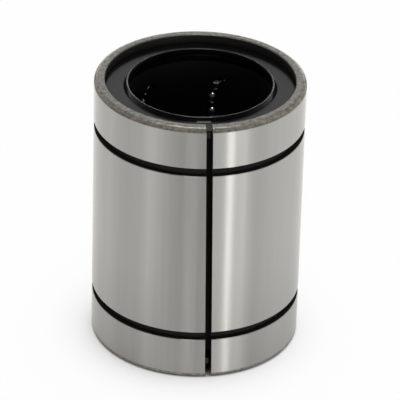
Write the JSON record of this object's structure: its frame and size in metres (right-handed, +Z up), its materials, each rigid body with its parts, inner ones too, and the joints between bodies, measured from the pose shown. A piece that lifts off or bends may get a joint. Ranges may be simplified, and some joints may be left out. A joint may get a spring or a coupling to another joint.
{
  "type": "linear ball bushing",
  "caption": "Slit, clearance-adjustable linear ball bushing with a steel sleeve, resin ball cage, recirculating balls and an end seal at each side.",
  "frame": {"origin": "centre of the lower end face, where the bushing stands", "axes": "+Z up along the shaft's axis; the slit in the sleeve faces -Y"},
  "size_m": [0.052, 0.052, 0.07],
  "materials": {
    "ground_steel": "ground satin bearing steel",
    "ball_steel": "polished bearing steel",
    "cage_resin": "black moulded resin",
    "seal_rubber": "moulded nitrile rubber, satin",
    "ring_steel": "blackened spring steel"
  },
  "bodies": {
    "root": {"outer_cylinder": "ground_steel", "ball_retainer": "cage_resin", "upper_seal": "seal_rubber", "lower_seal": "seal_rubber", "upper_retaining_ring": "ring_steel", "lower_retaining_ring": "ring_steel", "load_balls_1": "ball_steel", "load_balls_2": "ball_steel", "load_balls_3": "ball_steel", "load_balls_4": "ball_steel", "load_balls_5": "ball_steel", "load_balls_6": "ball_steel", "return_balls_1": "ball_steel", "return_balls_2": "ball_steel", "return_balls_3": "ball_steel", "return_balls_4": "ball_steel", "return_balls_5": "ball_steel", "return_balls_6": "ball_steel", "turn_balls_1": "ball_steel", "turn_balls_2": "ball_steel", "turn_balls_3": "ball_steel", "turn_balls_4": "ball_steel", "turn_balls_5": "ball_steel", "turn_balls_6": "ball_steel"}
  },
  "joints": []
}
